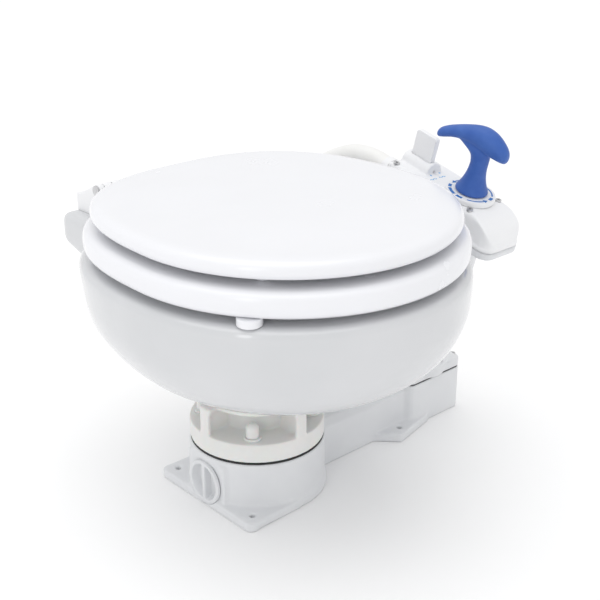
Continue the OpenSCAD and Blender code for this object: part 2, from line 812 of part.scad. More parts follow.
module lever_pin() {
    color(steel) on_pump_axis() translate([0, 57.5, lever_w]) rotate([-90, 0, 0]) cylinder(r = 2, h = 41);
}

module valve_cam() {
    color(white) on_pump_axis() translate([0, lever_v, lever_w]) {
        translate([-1.45, -3.95, -9]) cube([2.9, 7.9, 5.9]);
        translate([-2.5, -4.5, -24.5]) cube([5, 9, 15.6]);
    }
}

module inlet_valve() {
    color(black) on_pump_axis() translate([0, lever_v, head_w0]) {
        cylinder(r1 = 9, r2 = 11, h = 3);
        translate([0, 0, 2.9]) cylinder(r = 3, h = 8);
    }
}

// ---- Seat, lid and hinges ----

module seat_ring() {
    a = seat_half_w;
    h = seat_hole_half_w;
    color(white) difference() {
        skin([
            for (r = [[-6, seat_z0], [-1.8, seat_z0 + 3], [0, seat_z0 + 8], [0, seat_z1 - 8],
                    [-2, seat_z1 - 3], [-6.5, seat_z1 - 0.6], [-11, seat_z1]])
                egg(a + r[0], 186.9 + r[0], 200.4 + r[0], r[1], clip = 150 + r[0]),
            for (r = [[9, seat_z1], [3.5, seat_z1 - 1.5], [0.5, seat_z1 - 6], [0, seat_z0 + 6],
                    [1.5, seat_z0 + 1.5], [5, seat_z0]])
                egg(h + r[0], 128 + r[0], 142 + r[0], r[1], square = 2.2)], closed = true);
        at_arm_screws(seat_arm_x, seat_z1 - 13) cylinder(r = 1.65, h = 20);
    }
}

module seat_buffers() {
    color(white) for (s = [-1, 1], p = [[139, -158], [112, 108]])
        translate([s * p[0], p[1], rim_z + 0.3]) cylinder(r = 12, h = seat_z0 - rim_z - 0.3);
}

module lid_panel() {
    a = lid_half_w;
    color(white) difference() {
        skin([for (r = [[-8, 0], [-3, 1.6], [-0.6, 5], [0, 8.5], [-1.2, 13], [-5, 16.6], [-12, 18.2],
                [-45, 18.9], [-100, 19.3]])
            egg(a + r[0], 178.2 + r[0], 193 + r[0], lid_z0 + r[1], clip = lid_back + r[0] * 0.6)]);
        at_arm_screws(lid_arm_x, lid_z0 - 8) cylinder(r = 1.65, h = 19);
    }
}

module lid_buffers() {
    color(white) for (s = [-1, 1], p = [[112, -146], [128, 62]])
        translate([s * p[0], p[1], seat_z1 + 0.3]) cylinder(r = 7, h = lid_z0 - seat_z1 - 0.3);
}

module hinge_posts() {
    color(white) for (s = hinge_side) difference() {
        union() {
            translate([s * hinge_bolt_x - 18, 175, deck_z]) cube([36, 31, 20]);
            for (x = [hinge_bolt_x - 18, hinge_bolt_x + 11])
                mirror([s < 0 ? 1 : 0, 0, 0]) plate_x(x, x + 7)
                    round_hull([[181, 298, 5.8], [199, 305, 6.9], [hinge_y, hinge_z, 7]]);
        }
        translate([0, hinge_y, hinge_z]) rotate([0, 90, 0]) cylinder(r = pin_r + 0.02, h = 240, center = true);
        translate([s * hinge_bolt_x, hinge_bolt_y, deck_z - 1]) {
            cylinder(r = 4, h = 30);
            translate([0, 0, 15]) cylinder(r = 7.5, h = 30);
        }
    }
}

module hinge_pins() {
    color(steel) for (s = hinge_side) translate([s * (hinge_bolt_x + 19.5), hinge_y, hinge_z]) rotate([0, -90 * s, 0]) {
        cylinder(r = pin_r, h = 38.5);
        translate([0, 0, -0.5]) cylinder(r = 6, h = 1.8);
    }
}

module hinge_arm(x, strap_z) {
    difference() {
        union() {
            plate_x(x - 5, x + 5) {
                translate([112, strap_z]) square([38, 3]);
                round_hull([[150, strap_z + 1.5, 1.5], [hinge_y, hinge_z, arm_boss_r]]);
            }
        }
        translate([x, hinge_y, hinge_z]) rotate([0, 90, 0]) cylinder(r = pin_r + run_gap, h = 30, center = true);
        for (y = arm_screw_y) translate([x, y, strap_z - 1]) cylinder(r = 1.7, h = 5);
    }
}

module seat_hinge_arms() {
    color(white) for (s = hinge_side) mirror([s < 0 ? 1 : 0, 0, 0]) hinge_arm(seat_arm_x, seat_z1 + 0.1);
}

module lid_hinge_arms() {
    color(white) for (s = hinge_side) mirror([s < 0 ? 1 : 0, 0, 0]) hinge_arm(lid_arm_x, lid_z0 - 3.1);
}

module seat_hinge_screws() {
    color(steel) at_arm_screws(seat_arm_x, seat_z1 + 3.1) cap_screw(1.6, 3.4, 1.4, 13);
}

module lid_hinge_screws() {
    color(steel) at_arm_screws(lid_arm_x, lid_z0 - 3.1) mirror([0, 0, 1]) cap_screw(1.6, 3.4, 1.4, 12);
}

module at_hinge_bolts(z) {
    for (s = hinge_side) translate([s * hinge_bolt_x, hinge_bolt_y, z]) children();
}

module hinge_bolts() {
    color(steel) at_hinge_bolts(deck_z + 14) cap_screw(3.5, 6.6, 4, 66);
}

module hinge_washers() {
    color(black) at_hinge_bolts(256) tube(11, 3.8, 3);
}

module hinge_nuts() {
    color(white) at_hinge_bolts(247) difference() {
        union() {
            cylinder(r = 8, h = 9);
            for (a = [0, 180]) rotate([0, 0, a]) translate([5, -1.6, -5]) cube([7, 3.2, 11]);
        }
        translate([0, 0, -1]) cylinder(r = 3.55, h = 11);
        translate([0, 0, -7]) cylinder(r = 4.2, h = 8);
    }
}

base_housing();
base_plug();
plug_oring();
ring_gasket();
bowl_support_ring();
ring_bolts();
ring_washers();
dome_nuts();
bowl_gasket();
outlet_spud();
spud_nut();
bowl();
inlet_gasket();
inlet_elbow();
flush_hose();
hose_clips();
pump_base_gasket();
pump_foot();
pump_foot_screws();
bottom_flap();
flap_weight();
pump_cylinder();
head_gasket();
pump_head();
head_screws();
intake_tail();
head_outlet_tail();
seal_housing();
rod_bush();
rod_seal();
rod_wiper();
piston_rod();
piston();
piston_oring();
piston_nut();
handle();
flush_lever();
lever_pin();
valve_cam();
inlet_valve();
joker_valve();
discharge_tail();
discharge_screws();
seat_ring();
seat_buffers();
lid_panel();
lid_buffers();
hinge_posts();
hinge_pins();
seat_hinge_arms();
lid_hinge_arms();
seat_hinge_screws();
lid_hinge_screws();
hinge_bolts();
hinge_washers();
hinge_nuts();
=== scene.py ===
# Manual marine toilet: china bowl, painted seat and lid, moulded base and a hand pump
import json
import math

import bmesh
import bpy
from mathutils import Matrix, Vector


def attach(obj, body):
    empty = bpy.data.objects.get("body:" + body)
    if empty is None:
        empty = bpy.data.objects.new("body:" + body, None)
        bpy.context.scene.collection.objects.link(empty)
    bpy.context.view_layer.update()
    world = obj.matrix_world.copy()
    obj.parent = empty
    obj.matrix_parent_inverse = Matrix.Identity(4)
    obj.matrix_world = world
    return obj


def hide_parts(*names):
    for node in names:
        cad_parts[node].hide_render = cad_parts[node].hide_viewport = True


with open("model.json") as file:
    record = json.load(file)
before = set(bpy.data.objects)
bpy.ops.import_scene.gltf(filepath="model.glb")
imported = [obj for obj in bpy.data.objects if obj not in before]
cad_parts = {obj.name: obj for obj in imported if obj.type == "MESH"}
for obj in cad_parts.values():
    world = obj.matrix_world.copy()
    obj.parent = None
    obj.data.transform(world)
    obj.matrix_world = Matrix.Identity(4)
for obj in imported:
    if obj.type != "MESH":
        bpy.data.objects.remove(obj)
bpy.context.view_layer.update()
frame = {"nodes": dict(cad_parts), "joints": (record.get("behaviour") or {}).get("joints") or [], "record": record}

scene = bpy.context.scene
nodes = frame["nodes"]
slots = {row["node"]: row["material_slot"] for row in frame["record"]["subparts"]}
joints = {joint["name"]: joint for joint in frame["joints"]}
mm = 0.001
coarse = 1.0
print("frame loaded,", len(nodes), "nodes")


# ---- camera ----
camera = {"azimuth": -42.357, "elevation": 22.629, "distance": 1.3846, "lens": 67.3, "sensor": 36,
          "near": 0.05, "far": 60, "aim": (0.1503, 0.0938, 0.150)}


def placeCamera():
    data = bpy.data.cameras.new("studioCamera")
    data.lens = camera["lens"]
    data.sensor_width = camera["sensor"]
    data.clip_start = camera["near"]
    data.clip_end = camera["far"]
    eye = bpy.data.objects.new("studioCamera", data)
    scene.collection.objects.link(eye)
    turn = math.radians(camera["azimuth"])
    rise = math.radians(camera["elevation"])
    back = Vector((math.sin(turn) * math.cos(rise), -math.cos(turn) * math.cos(rise), math.sin(rise)))
    eye.location = Vector(camera["aim"]) + back * camera["distance"]
    eye.rotation_mode = "QUATERNION"
    eye.rotation_quaternion = (-back).to_track_quat("-Z", "Y")
    scene.camera = eye


placeCamera()
print("camera placed")


# ---- shader helper: a socket that does arithmetic ----
class Wire:
    def __init__(self, tree, socket=None):
        self.tree = tree
        self.socket = socket

    # any node: its type, its settings first, then values or wires for its inputs
    def add(self, kind, settings=None, inputs=None, output=0):
        node = self.tree.nodes.new("ShaderNode" + kind)
        for key, value in (settings or {}).items():
            setattr(node, key, value)
        for key, value in (inputs or {}).items():
            if isinstance(value, Wire):
                self.tree.links.new(value.socket, node.inputs[key])
            else:
                node.inputs[key].default_value = value
        return Wire(self.tree, node.outputs[output] if node.outputs else None)

    def maths(self, operation, first, second=0.0):
        return self.add("Math", {"operation": operation}, {0: first, 1: second})

    def __add__(self, other):
        return self.maths("ADD", self, other)

    __radd__ = __add__

    def __sub__(self, other):
        return self.maths("SUBTRACT", self, other)

    def __rsub__(self, other):
        return self.maths("SUBTRACT", other, self)

    def __mul__(self, other):
        return self.maths("MULTIPLY", self, other)

    __rmul__ = __mul__

    def ramp(self, low, high):
        return self.add("MapRange", {"clamp": True}, {"Value": self, "From Min": low, "From Max": high})

    # a colour between two others
    def blend(self, first, second):
        settings = {"data_type": "RGBA", "clamp_factor": True}
        return self.add("Mix", settings, {0: self, 6: first, 7: second}, 2)


def newFinish(name):
    finish = bpy.data.materials.new(name)
    finish.use_nodes = True
    finish.node_tree.nodes.clear()
    return finish, Wire(finish.node_tree)


def place(start):
    return start.add("TexCoord", output=3)


# cloudy value from 0 to 1 whose blotches are about size metres across
def clouds(start, size, detail=3.0, stretch=None):
    spot = place(start)
    if stretch:
        spot = start.add("Mapping", inputs={0: spot, 3: stretch})
    values = {"Vector": spot, "Scale": 1 / size, "Detail": detail, "Roughness": 0.55}
    return start.add("TexNoise", inputs=values)


def relief(start, height, depth, strength=1.0):
    return start.add("Bump", inputs={"Height": height, "Distance": depth, "Strength": strength})


def colour(values):
    return (*values, 1.0)


def closeFinish(start, inputs):
    surface = start.add("BsdfPrincipled", inputs=inputs)
    start.add("OutputMaterial", inputs={"Surface": surface})


# ---- finishes ----
china = {"glaze": (0.645, 0.652, 0.668), "pooled": (0.605, 0.615, 0.63), "speck": (0.62, 0.60, 0.56),
         "rough": 0.07, "ripple": 0.00010, "poolSize": 0.11, "fineSize": 0.007, "waveSize": 0.016,
         "grains": 55.0, "speckSize": 0.035, "speckShare": 0.35, "coat": 0.55, "coatRough": 0.05}


def glazedChina():
    finish, start = newFinish("glazedChina")
    pooling = clouds(start, china["poolSize"], 2.0)
    fine = clouds(start, china["fineSize"], 2.0)
    grain = start.add("TexVoronoi", {"feature": "F1"}, {"Vector": place(start), "Scale": china["grains"]})
    specks = (1 - grain.ramp(0.0, china["speckSize"])) * china["speckShare"]
    body = pooling.ramp(0.35, 0.75).blend(colour(china["glaze"]), colour(china["pooled"]))
    closeFinish(start, {
        "Base Color": specks.blend(body, colour(china["speck"])),
        "Roughness": china["rough"] + fine * 0.05 + pooling * 0.04,
        "Normal": relief(start, clouds(start, china["waveSize"], 1.0) + fine * 0.35, china["ripple"]),
        "Coat Weight": china["coat"], "Coat Roughness": china["coatRough"], "IOR": 1.5})
    return finish


paint = {"white": (0.845, 0.85, 0.88), "warm": (0.825, 0.83, 0.855), "rough": 0.24, "peel": 0.000006,
         "driftSize": 0.09, "peelSize": 0.004, "rubSize": 0.05, "coat": 0.25, "coatRough": 0.18}


def paintedSeat():
    finish, start = newFinish("paintedSeat")
    drift = clouds(start, paint["driftSize"], 2.0)
    peel = clouds(start, paint["peelSize"], 2.0)
    rub = clouds(start, paint["rubSize"], 2.0)
    closeFinish(start, {
        "Base Color": drift.ramp(0.3, 0.8).blend(colour(paint["white"]), colour(paint["warm"])),
        "Roughness": paint["rough"] + rub.ramp(0.45, 0.8) * 0.04 + peel * 0.01,
        "Normal": relief(start, peel, paint["peel"]),
        "Coat Weight": paint["coat"], "Coat Roughness": paint["coatRough"]})
    return finish


# white and grey are the moulding's own tones, drifting at random; bright and pale are a lighter copy of the same
# moulding for the upper parts: painted light
moulded = {"white": (0.765, 0.775, 0.79), "grey": (0.72, 0.73, 0.75), "bright": (0.88, 0.885, 0.895),
           "pale": (0.845, 0.85, 0.865), "rough": 0.36, "grain": 0.00005, "flow": 0.00022,
           "driftSize": 0.06, "grainSize": 0.0011, "flowSize": 0.028, "flowStretch": (1.0, 1.0, 2.2),
           "scuffSize": 0.012, "scuffStretch": (0.35, 1.0, 4.0)}


def mouldedPlastic(name, clean, drifted):
    finish, start = newFinish(name)
    drift = clouds(start, moulded["driftSize"], 3.0)
    grain = clouds(start, moulded["grainSize"], 2.0)
    flow = clouds(start, moulded["flowSize"], 1.0, moulded["flowStretch"])
    scuffs = clouds(start, moulded["scuffSize"], 6.0, moulded["scuffStretch"]).ramp(0.62, 0.74)
    closeFinish(start, {
        "Base Color": drift.ramp(0.3, 0.75).blend(colour(moulded[clean]), colour(moulded[drifted])),
        "Roughness": moulded["rough"] + grain * 0.08 + scuffs * 0.12,
        "Normal": relief(start, grain * (moulded["grain"] / moulded["flow"]) + flow, moulded["flow"]),
        "Specular IOR Level": 0.45})
    return finish


cream = {"pale": (0.82, 0.82, 0.805), "deep": (0.765, 0.765, 0.745), "rough": 0.38, "grain": 0.00008,
         "driftSize": 0.035, "grainSize": 0.0016, "soft": 0.2, "softDepth": 0.006}


def creamNylon():
    finish, start = newFinish("creamNylon")
    drift = clouds(start, cream["driftSize"], 3.0)
    grain = clouds(start, cream["grainSize"], 3.0)
    closeFinish(start, {
        "Base Color": drift.ramp(0.3, 0.75).blend(colour(cream["pale"]), colour(cream["deep"])),
        "Roughness": cream["rough"] + drift * 0.10 + grain * 0.05,
        "Normal": relief(start, grain + drift * 0.6, cream["grain"]),
        "Subsurface Weight": cream["soft"], "Subsurface Scale": cream["softDepth"]})
    return finish


blue = {"face": (0.026, 0.100, 0.40), "worn": (0.045, 0.135, 0.46), "rough": 0.50, "grain": 0.00010,
        "driftSize": 0.022, "grainSize": 0.0009, "sheen": 0.12, "sheenRough": 0.4}


def blueGrip():
    finish, start = newFinish("blueGrip")
    drift = clouds(start, blue["driftSize"], 3.0)
    grain = clouds(start, blue["grainSize"], 2.0)
    closeFinish(start, {
        "Base Color": drift.ramp(0.35, 0.8).blend(colour(blue["face"]), colour(blue["worn"])),
        "Roughness": blue["rough"] + grain * 0.16 - drift.ramp(0.4, 0.8) * 0.10,
        "Normal": relief(start, grain, blue["grain"]),
        "Sheen Weight": blue["sheen"], "Sheen Roughness": blue["sheenRough"]})
    return finish


steel = {"bright": (0.66, 0.66, 0.67), "dull": (0.50, 0.50, 0.51), "rough": 0.24, "brush": 0.00003,
         "brushSize": 0.0012, "brushStretch": (1.0, 1.0, 0.12), "tarnishSize": 0.008}


def stainlessSteel():
    finish, start = newFinish("stainlessSteel")
    brush = clouds(start, steel["brushSize"], 4.0, steel["brushStretch"])
    tarnish = clouds(start, steel["tarnishSize"], 4.0)
    closeFinish(start, {
        "Base Color": tarnish.ramp(0.4, 0.8).blend(colour(steel["bright"]), colour(steel["dull"])),
        "Metallic": 1.0,
        "Roughness": steel["rough"] + brush * 0.14 + tarnish * 0.08,
        "Normal": relief(start, brush, steel["brush"])})
    return finish


rubber = {"black": (0.018, 0.018, 0.020), "bloom": (0.055, 0.054, 0.052), "white": (0.78, 0.78, 0.79),
          "dusty": (0.70, 0.70, 0.70), "rough": 0.62, "grain": 0.00008, "bloomSize": 0.009,
          "grainSize": 0.0012}


def rubberFinish(name, clean, dusty):
    finish, start = newFinish(name)
    bloom = clouds(start, rubber["bloomSize"], 5.0)
    grain = clouds(start, rubber["grainSize"], 3.0)
    closeFinish(start, {
        "Base Color": bloom.ramp(0.45, 0.85).blend(colour(rubber[clean]), colour(rubber[dusty])),
        "Roughness": rubber["rough"] + bloom * 0.2,
        "Normal": relief(start, grain, rubber["grain"])})
    return finish


vinyl = {"pale": (0.87, 0.87, 0.86), "deep": (0.84, 0.835, 0.815), "rough": 0.34, "grain": 0.00007,
         "driftSize": 0.03, "grainSize": 0.002, "coat": 0.1, "coatRough": 0.25}


def creamHose():
    finish, start = newFinish("creamHose")
    drift = clouds(start, vinyl["driftSize"], 4.0)
    grain = clouds(start, vinyl["grainSize"], 3.0)
    closeFinish(start, {
        "Base Color": drift.ramp(0.3, 0.75).blend(colour(vinyl["pale"]), colour(vinyl["deep"])),
        "Roughness": vinyl["rough"] + drift * 0.12,
        "Normal": relief(start, grain, vinyl["grain"]),
        "Coat Weight": vinyl["coat"], "Coat Roughness": vinyl["coatRough"]})
    return finish


bearing = {"tan": (0.42, 0.31, 0.19), "deep": (0.33, 0.24, 0.14), "rough": 0.48, "grain": 0.00006,
           "driftSize": 0.006, "grainSize": 0.0008}


def bearingPlastic():
    finish, start = newFinish("bearingPlastic")
    drift = clouds(start, bearing["driftSize"], 4.0)
    closeFinish(start, {
        "Base Color": drift.ramp(0.3, 0.7).blend(colour(bearing["tan"]), colour(bearing["deep"])),
        "Roughness": bearing["rough"] + drift * 0.1,
        "Normal": relief(start, clouds(start, bearing["grainSize"]), bearing["grain"])})
    return finish


ink = {"arrow": (0.005, 0.155, 0.50), "icon": (0.14, 0.42, 0.74), "ground": 0.75, "faded": 0.25,
       "rough": 0.42, "thinSize": 0.0016, "depth": 0.00002}


def printedInk(name, shade):
    finish, start = newFinish(name)
    thin = clouds(start, ink["thinSize"], 4.0)
    paler = [value + (ink["ground"] - value) * ink["faded"] for value in shade]
    closeFinish(start, {
        "Base Color": thin.ramp(0.5, 0.85).blend(colour(shade), colour(paler)),
        "Roughness": ink["rough"] + thin * 0.15,
        "Normal": relief(start, thin, ink["depth"])})
    return finish


finishes = {"china": glazedChina(), "seat_white": paintedSeat(),
            "white_moulding": mouldedPlastic("mouldedPlastic", "white", "grey"),
            "cream_moulding": creamNylon(), "blue_grip": blueGrip(), "stainless": stainlessSteel(),
            "black_rubber": rubberFinish("blackRubber", "black", "bloom"),
            "pale_rubber": rubberFinish("whiteSilicone", "white", "dusty"),
            "hose_cream": creamHose(), "bush_plastic": bearingPlastic()}
arrowInk = printedInk("arrowInk", ink["arrow"])
iconInk = printedInk("iconInk", ink["icon"])
# lighter copy of the white moulding for the pump head, lever and hinge parts high up: painted light, the
# brightness of their lit faces
paintedLitWhite = mouldedPlastic("paintedLitWhite", "bright", "pale")
paintedLitNodes = ("pump_head", "flush_lever", "seal_housing", "hinge_posts", "hose_clips", "seat_hinge_arms",
               "lid_hinge_arms", "head_outlet_tail")


def dress(piece, finish):
    piece.data.materials.clear()
    piece.data.materials.append(finish)


# the upper parts listed above get the lighter copy, which paints the light falling on them
for name, node in nodes.items():
    dress(node, paintedLitWhite if name in paintedLitNodes else finishes[slots[name]])
print("finishes made")


# ---- mesh helpers ----
def makePiece(name, points, faces, smooth=True):
    mesh = bpy.data.meshes.new(name)
    mesh.from_pydata([tuple(point) for point in points], [], faces)
    shell = bmesh.new()
    shell.from_mesh(mesh)
    bmesh.ops.recalc_face_normals(shell, faces=shell.faces)
    shell.to_mesh(mesh)
    shell.free()
    if smooth:
        mesh.shade_smooth()
    else:
        mesh.shade_flat()
    piece = bpy.data.objects.new(name, mesh)
    scene.collection.objects.link(piece)
    return piece


# skin over rows of points; open ends are closed with a fan
def skin(name, rows, closed=False):
    count = len(rows[0])
    points = [point for row in rows for point in row]
    faces = []
    last = len(rows) if closed else len(rows) - 1
    for j in range(last):
        up = (j + 1) % len(rows)
        for i in range(count):
            k = (i + 1) % count
            faces.append((j * count + i, j * count + k, up * count + k, up * count + i))
    if not closed:
        for j in (0, len(rows) - 1):
            middle = sum((Vector(point) for point in rows[j]), Vector()) / count
            points.append(middle)
            for i in range(count):
                faces.append((j * count + i, j * count + (i + 1) % count, len(points) - 1))
    return makePiece(name, points, faces)


# values on a smooth line through rows of numbers, with steps between neighbours
def between(rows, steps):
    out = []
    last = len(rows) - 1
    for i in range(last):
        before, here, after, beyond = (rows[min(max(k, 0), last)] for k in (i - 1, i, i + 1, i + 2))
        for j in range(steps):
            t = j / steps
            out.append([0.5 * (2 * b + t * (c - a) + t * t * (2 * a - 5 * b + 4 * c - d)
                               + t ** 3 * (3 * b - a - 3 * c + d))
                        for a, b, c, d in zip(before, here, after, beyond)])
    out.append(list(rows[last]))
    return out


# the smaller of two values, with a round corner of the given size
def softMin(value, limit, corner):
    if value < limit - corner:
        return value
    if value > limit + corner:
        return limit
    return value - (value - limit + corner) ** 2 / (4 * corner)


clipCorner = 7.0  # round corner of a clipped outline, in millimetres


# egg outline in millimetres; square tells how square its back is, clip cuts the back off straight
def eggRow(halfWidth, front, back, height, middle, square, sides, clip=None):
    row = []
    for i in range(sides):
        turn = 2 * math.pi * i / sides
        c, s = math.cos(turn), math.sin(turn)
        if s < 0:
            x, y = halfWidth * c, middle + front * s
        else:
            x = halfWidth * math.copysign(abs(c) ** (2 / square), c)
            y = middle + back * s ** (2 / square)
            if clip is not None:
                y = softMin(y, clip, clipCorner)
        row.append(Vector((x, y, height)) * mm)
    return row


# solid of revolution from rows of radius and height in millimetres, along +Z or turned towards +Y
def turned(name, profile, place=(0, 0, 0), towardsBack=False, sides=64):
    turns = [2 * math.pi * i / sides for i in range(sides)]
    rows = [[Vector((radius * math.cos(t), radius * math.sin(t), height)) * mm for t in turns]
            for radius, height in profile]
    piece = skin(name, rows)
    lean = Matrix.Rotation(-math.pi / 2 if towardsBack else 0, 4, "X")
    piece.data.transform(Matrix.Translation(Vector(place) * mm) @ lean)
    return piece


# straight block between two equal outlines, which may be hollow towards one side
def prism(name, rows):
    count = len(rows[0])
    faces = [tuple(range(count)), tuple(range(count, 2 * count))]
    faces += [(i, (i + 1) % count, count + (i + 1) % count, count + i) for i in range(count)]
    return makePiece(name, rows[0] + rows[1], faces, smooth=False)


def bake(piece):
    shown = piece.evaluated_get(bpy.context.evaluated_depsgraph_get())
    mesh = bpy.data.meshes.new_from_object(shown)
    piece.modifiers.clear()
    piece.data = mesh


def carve(piece, *cutters):
    for cutter in cutters:
        cut = piece.modifiers.new("cut", "BOOLEAN")
        cut.object = cutter
        cut.operation = "DIFFERENCE"
        cut.solver = "EXACT"
    bake(piece)
    for cutter in cutters:
        bpy.data.objects.remove(cutter)


def join(piece, *others):
    shell = bmesh.new()
    for part in (piece, *others):
        shell.from_mesh(part.data)
    shell.to_mesh(piece.data)
    shell.free()
    for part in others:
        bpy.data.objects.remove(part)


# voxel skin with its edges eased, as a moulding or a casting has
def easeEdges(piece, voxel, rounds, factor=0.5):
    shrink = piece.modifiers.new("voxels", "REMESH")
    shrink.mode = "VOXEL"
    shrink.voxel_size = voxel * coarse
    shrink.use_smooth_shade = True
    ease = piece.modifiers.new("ease", "SMOOTH")
    ease.factor = factor
    ease.iterations = rounds


def settle(piece, body, slot, finish, *replaced):
    dress(piece, finish)
    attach(piece, body)
    if replaced:
        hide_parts(*replaced)


# ---- bowl ----
bowl = {"sides": 176, "steps": 4, "halfWidth": 189.8, "mouth": 128, "china": 10, "middle": -42,
        "voxel": 0.0022, "rounds": 11, "deckBack": 212, "deckHalf": 106, "deckTop": 292, "deckCorner": 11,
        "cornerSteps": 5, "cornerAngle": 60, "inlet": 222, "spigot": (15, 136, 48), "bore": (9, 130, 60),
        "nutSeat": (12.5, 240, 259), "bolt": (67, 191)}


def bowlRows():
    wide = bowl["halfWidth"]
    inner = wide - bowl["china"]
    mouth = bowl["mouth"]
    mid = bowl["middle"]
    outside = [(62, 62, 62, 120, 0, 2), (61, 61, 61, 127, 0, 2), (68, 76, 62, 133, -14, 2),
               (82, 90, 80, 145, -30, 2), (wide - 85, 110, 106, 156, -37, 2),
               (wide - 61, 135, 136, 169, -40, 2.05), (wide - 37, 159, 166, 184, mid, 2.1),
               (wide - 20, 178, 188, 201, mid, 2.15), (wide - 7, 191, 203, 222, mid, 2.2),
               (wide - 1, 198, 209, 243, mid, 2.2), (wide, 199.8, 210, 262, mid, 2.25),
               (wide, 199.8, 210, 277, mid, 2.3), (wide - 2, 198, 208, 282, mid, 2.3),
               (wide - 7, 193, 203, 285, mid, 2.3)]
    inside = [(mouth + 4, 148, 148, 285, mid, 2.2), (mouth, 144, 144, 281, mid, 2.2),
              (mouth, 144, 144, 273, mid, 2.2), (mouth + 6, 150, 150, 268, mid, 2.2),
              (inner - 4, 184, 194, 258, mid, 2.25), (inner - 1, 188, 199, 243, mid, 2.2),
              (inner - 8, 180, 190, 219, mid, 2.2), (inner - 25, 161, 167, 195, mid, 2.15),
              (inner - 50, 133, 134, 176, -38, 2.1), (inner - 80, 103, 102, 160, -34, 2),
              (60, 68, 64, 148, -20, 2), (38, 39, 38, 139, -1, 2), (36, 36, 36, 134, 0, 2)]
    bore = [(26, 26, 26, 134, 0, 2), (25, 25, 25, 120, 0, 2)]
    return between(outside, bowl["steps"]) + between(inside, bowl["steps"]) + bore


def sideProfile(name, halfWidth, outline):
    left = [Vector((-halfWidth * mm, y * mm, z * mm)) for y, z in outline]
    right = [Vector((halfWidth * mm, y * mm, z * mm)) for y, z in outline]
    return skin(name, [left, right])


# straight rod along the rear inlet: its radius, where it starts and how long it is
def inletRod(name):
    radius, start, length = bowl[name]
    return turned(name, [(radius, 0), (radius, length)], (0, start, bowl["inlet"]), True)


def makeBowl():
    rows = [eggRow(*row, bowl["sides"]) for row in bowlRows()]
    piece = skin("china_bowl", rows, closed=True)
    half = bowl["deckHalf"]
    back = bowl["deckBack"]
    top = bowl["deckTop"]
    outline = [(127, 232), (152, 238), (167, 246), (back - 4, 258), (back, 263), (back, top - 6),
               (back - 1.5, top - 2), (back - 6, top), (164, top), (150, top - 8), (127, top - 10)]
    deck = sideProfile("deck", half, outline)
    corner = deck.modifiers.new("corner", "BEVEL")
    corner.width = bowl["deckCorner"] * mm
    corner.segments = bowl["cornerSteps"]
    corner.limit_method = "ANGLE"
    corner.angle_limit = math.radians(bowl["cornerAngle"])
    bake(deck)
    join(piece, deck, inletRod("spigot"))
    easeEdges(piece, bowl["voxel"], 0)
    bake(piece)
    cutters = [inletRod("bore")]
    radius, low, high = bowl["nutSeat"]
    boltX, boltY = bowl["bolt"]
    for side in (-1, 1):
        cutters.append(turned("nutSeat", [(radius, low), (radius, high)], (side * boltX, boltY, 0)))
    carve(piece, *cutters)
    easeEdges(piece, bowl["voxel"], bowl["rounds"])
    bake(piece)
    settle(piece, "base", "china", finishes["china"], "bowl")


makeBowl()
print("bowl made")


# ---- seat and lid ----
seat = {"sides": 320, "halfWidth": 183, "front": 186.9, "back": 200.4, "square": 2.6, "low": 293,
        "high": 318, "middle": -50.6, "clip": 150, "hole": 112, "holeFront": 128, "holeBack": 142,
        "holeSquare": 2.2}
lid = {"sides": 320, "halfWidth": 174.7, "front": 178.2, "back": 193, "square": 2.6, "low": 326,
       "middle": -50.6, "clip": 142.4, "frontGrowth": 1.02, "backGrowth": 1.1, "clipGrowth": 0.6}


def makeSeat():
    low, high = seat["low"], seat["high"]
    outer = between([(-6, low), (-1.8, low + 3), (0, low + 8), (0, high - 8), (-2, high - 3),
                     (-6.5, high - 0.6), (-12, high), (-24, high)], 3)
    inner = between([(18, high), (9, high), (3.5, high - 1.5), (0.5, high - 6), (0, low + 6),
                     (1.5, low + 1.5), (5, low), (12, low)], 3)
    rows = [eggRow(seat["halfWidth"] + grow, seat["front"] + grow, seat["back"] + grow, height,
                   seat["middle"], seat["square"], seat["sides"], seat["clip"] + grow)
            for grow, height in outer]
    rows += [eggRow(seat["hole"] + grow, seat["holeFront"] + grow, seat["holeBack"] + grow, height,
                    seat["middle"], seat["holeSquare"], seat["sides"])
             for grow, height in inner]
    piece = skin("seat_shell", rows, closed=True)
    settle(piece, "seat", "seat_white", finishes["seat_white"], "seat_ring")


def makeLid():
    low = lid["low"]
    edge = between([(-14, 0), (-8, 0), (-3, 1.6), (-0.6, 5), (0, 8.5), (-1.2, 13), (-5, 16.6), (-12, 18.2),
                    (-28, 18.6), (-60, 19.0), (-110, 19.25), (-160, 19.3)], 3)
    rows = [eggRow(lid["halfWidth"] + grow, lid["front"] + grow * lid["frontGrowth"],
                   lid["back"] + grow * lid["backGrowth"], low + height, lid["middle"], lid["square"],
                   lid["sides"], lid["clip"] + grow * lid["clipGrowth"])
            for grow, height in edge]
    piece = skin("lid_shell", rows)
    settle(piece, "lid", "seat_white", finishes["seat_white"], "lid_panel")


makeSeat()
makeLid()
print("seat and lid made")


# ---- frame of the pump, whose axis leans to the front ----
pumpUp = Vector(joints["pump_stroke"]["axis"]).normalized()
pumpBack = Vector((0, pumpUp.z, -pumpUp.y))
pumpFoot = Vector((0.256, -0.012, 0.060))
pumpFrame = Matrix((
    (1, pumpBack.x, pumpUp.x, pumpFoot.x),
    (0, pumpBack.y, pumpUp.y, pumpFoot.y),
    (0, pumpBack.z, pumpUp.z, pumpFoot.z),
    (0, 0, 0, 1)))


